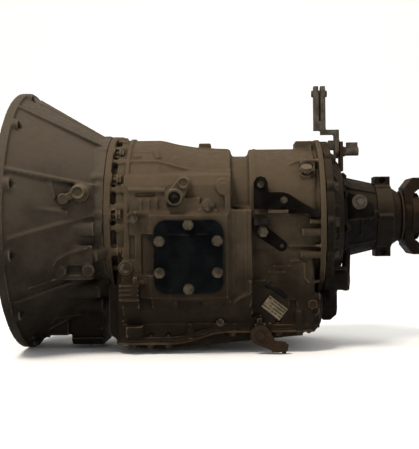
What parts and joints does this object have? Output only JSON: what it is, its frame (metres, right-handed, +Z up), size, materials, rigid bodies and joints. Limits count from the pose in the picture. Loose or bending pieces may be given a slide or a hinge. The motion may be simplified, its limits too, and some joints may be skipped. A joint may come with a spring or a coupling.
{
  "type": "automatic transmission",
  "caption": "Heavy-duty automatic transmission with a bell housing, torque converter, planetary gear sets, oil pan, power take-off cover, levers and a half-round output yoke.",
  "frame": {"origin": "centre of the engine mounting face of the bell housing, on the shaft axis", "axes": "+X along the shafts towards the output yoke, +Z up with the oil pan below, -Y the side with the power take-off cover and levers"},
  "size_m": [0.795, 0.4889, 0.4945],
  "materials": {
    "upper_casting": "sand cast, aged and dusty",
    "dark_casting": "sand cast, dark and grimy",
    "pan_steel": "grimy painted sheet steel",
    "gasket": "black bead",
    "black_paint": "scratched blue-black paint",
    "zinc_bolts": "dull zinc with dirt",
    "bright_bolts": "bright zinc",
    "black_plastic": "dusty black plastic",
    "label_foil": "worn printed foil",
    "rusty_steel": "rusted steel",
    "worn_steel": "worn steel",
    "yoke_steel": "forged steel with a film of rust",
    "iron": "machined iron casting",
    "clean_aluminium": "clean casting",
    "seal_rubber": "matt",
    "machined_steel": "ground, oiled",
    "converter_steel": "pressed steel, oiled"
  },
  "bodies": {
    "casing": {"converter_housing": "upper_casting", "main_case": "upper_casting", "rear_cover": "dark_casting", "extension_housing": "dark_casting", "mount_ring": "dark_casting", "oil_pan": "pan_steel", "oil_pan_gasket": "gasket", "pto_cover": "black_paint", "housing_bolts": "zinc_bolts", "oil_pan_bolts": "zinc_bolts", "pto_cover_bolts": "zinc_bolts", "rear_bolts": "zinc_bolts", "input_speed_sensor": "black_plastic", "turbine_speed_sensor": "black_plastic", "output_speed_sensor": "black_plastic", "breather_cap": "black_plastic", "cable_bracket": "black_paint", "bracket_bolts": "bright_bolts", "neutral_switch": "black_plastic", "pipe_plugs": "zinc_bolts", "data_label": "label_foil", "brake_bracket": "rusty_steel", "lower_bracket": "rusty_steel", "pump_housing": "iron", "front_support": "iron", "valve_body": "clean_aluminium", "output_seal": "seal_rubber", "rear_bearing_outer": "machined_steel", "reaction_plates": "machined_steel", "carrier_2": "machined_steel"},
    "converter": {"converter_cover": "converter_steel", "impeller_shell": "converter_steel", "pump_drive_gear": "machined_steel"},
    "pump_driven": {"pump_driven_gear": "machined_steel"},
    "stator": {"stator_wheel": "clean_aluminium"},
    "input": {"turbine_wheel": "clean_aluminium", "input_shaft": "machined_steel", "clutch_drum": "machined_steel", "main_shaft": "machined_steel", "sun_gears": "machined_steel"},
    "output": {"carrier_3": "machined_steel", "output_shaft": "machined_steel", "rear_bearing_inner": "machined_steel", "output_yoke": "yoke_steel", "yoke_nut": "machined_steel"},
    "first_ring": {"ring_gear_1": "machined_steel"},
    "first_carrier": {"carrier_1": "machined_steel", "ring_gear_2": "machined_steel"},
    "planet_1_a": {"planet_1_a": "machined_steel"},
    "planet_1_b": {"planet_1_b": "machined_steel"},
    "planet_1_c": {"planet_1_c": "machined_steel"},
    "planet_2_a": {"planet_2_a": "machined_steel"},
    "planet_2_b": {"planet_2_b": "machined_steel"},
    "planet_2_c": {"planet_2_c": "machined_steel"},
    "planet_3_a": {"planet_3_a": "machined_steel"},
    "planet_3_b": {"planet_3_b": "machined_steel"},
    "planet_3_c": {"planet_3_c": "machined_steel"},
    "selector": {"selector_shaft": "worn_steel", "selector_lever": "black_paint"},
    "brake": {"brake_lever": "worn_steel"}
  },
  "joints": [
    {"name": "converter_spin", "type": "hinge", "parent": "casing", "child": "converter", "pos_m": [0.08, 0, 0], "axis": [1, 0, 0], "continuous": true},
    {"name": "pump_driven_spin", "type": "hinge", "parent": "casing", "child": "pump_driven", "pos_m": [0.169, 0, 0.0135], "axis": [1, 0, 0], "continuous": true},
    {"name": "stator_spin", "type": "hinge", "parent": "casing", "child": "stator", "pos_m": [0.106, 0, 0], "axis": [1, 0, 0], "continuous": true},
    {"name": "input_spin", "type": "hinge", "parent": "casing", "child": "input", "pos_m": [0.2, 0, 0], "axis": [1, 0, 0], "continuous": true},
    {"name": "output_spin", "type": "hinge", "parent": "casing", "child": "output", "pos_m": [0.6, 0, 0], "axis": [1, 0, 0], "continuous": true},
    {"name": "first_ring_spin", "type": "hinge", "parent": "casing", "child": "first_ring", "pos_m": [0.322, 0, 0], "axis": [1, 0, 0], "continuous": true},
    {"name": "first_carrier_spin", "type": "hinge", "parent": "casing", "child": "first_carrier", "pos_m": [0.338, 0, 0], "axis": [1, 0, 0], "continuous": true},
    {"name": "planet_1_a_spin", "type": "hinge", "parent": "first_carrier", "child": "planet_1_a", "pos_m": [0.322, 0.069, 0], "axis": [1, 0, 0], "continuous": true},
    {"name": "planet_1_b_spin", "type": "hinge", "parent": "first_carrier", "child": "planet_1_b", "pos_m": [0.322, -0.0345, 0.05976], "axis": [1, 0, 0], "continuous": true},
    {"name": "planet_1_c_spin", "type": "hinge", "parent": "first_carrier", "child": "planet_1_c", "pos_m": [0.322, -0.0345, -0.05976], "axis": [1, 0, 0], "continuous": true},
    {"name": "planet_2_a_spin", "type": "hinge", "parent": "casing", "child": "planet_2_a", "pos_m": [0.363, 0.063, 0], "axis": [1, 0, 0], "continuous": true},
    {"name": "planet_2_b_spin", "type": "hinge", "parent": "casing", "child": "planet_2_b", "pos_m": [0.363, -0.0315, 0.05456], "axis": [1, 0, 0], "continuous": true},
    {"name": "planet_2_c_spin", "type": "hinge", "parent": "casing", "child": "planet_2_c", "pos_m": [0.363, -0.0315, -0.05456], "axis": [1, 0, 0], "continuous": true},
    {"name": "planet_3_a_spin", "type": "hinge", "parent": "output", "child": "planet_3_a", "pos_m": [0.404, 0.063, 0], "axis": [1, 0, 0], "continuous": true},
    {"name": "planet_3_b_spin", "type": "hinge", "parent": "output", "child": "planet_3_b", "pos_m": [0.404, -0.0315, 0.05456], "axis": [1, 0, 0], "continuous": true},
    {"name": "planet_3_c_spin", "type": "hinge", "parent": "output", "child": "planet_3_c", "pos_m": [0.404, -0.0315, -0.05456], "axis": [1, 0, 0], "continuous": true},
    {"name": "selector_swing", "type": "hinge", "parent": "casing", "child": "selector", "pos_m": [0.4516, -0.15, -0.0262], "axis": [0, 1, 0], "range_deg": [-25, 30]},
    {"name": "brake_swing", "type": "hinge", "parent": "casing", "child": "brake", "pos_m": [0.6, -0.03, 0.125], "axis": [1, 0, 0], "range_deg": [-25, 25]}
  ],
  "couplings": [
    {"joint": "pump_driven_spin", "follows": "converter_spin", "ratio": 0.72727},
    {"joint": "output_spin", "follows": "input_spin", "ratio": 0.28571},
    {"joint": "first_ring_spin", "follows": "input_spin", "ratio": -1.1467},
    {"joint": "first_carrier_spin", "follows": "input_spin", "ratio": -0.4},
    {"joint": "planet_1_a_spin", "follows": "input_spin", "ratio": -3.2},
    {"joint": "planet_1_b_spin", "follows": "input_spin", "ratio": -3.2},
    {"joint": "planet_1_c_spin", "follows": "input_spin", "ratio": -3.2},
    {"joint": "planet_2_a_spin", "follows": "input_spin", "ratio": -1.3333},
    {"joint": "planet_2_b_spin", "follows": "input_spin", "ratio": -1.3333},
    {"joint": "planet_2_c_spin", "follows": "input_spin", "ratio": -1.3333},
    {"joint": "planet_3_a_spin", "follows": "input_spin", "ratio": -0.95238},
    {"joint": "planet_3_b_spin", "follows": "input_spin", "ratio": -0.95238},
    {"joint": "planet_3_c_spin", "follows": "input_spin", "ratio": -0.95238}
  ]
}
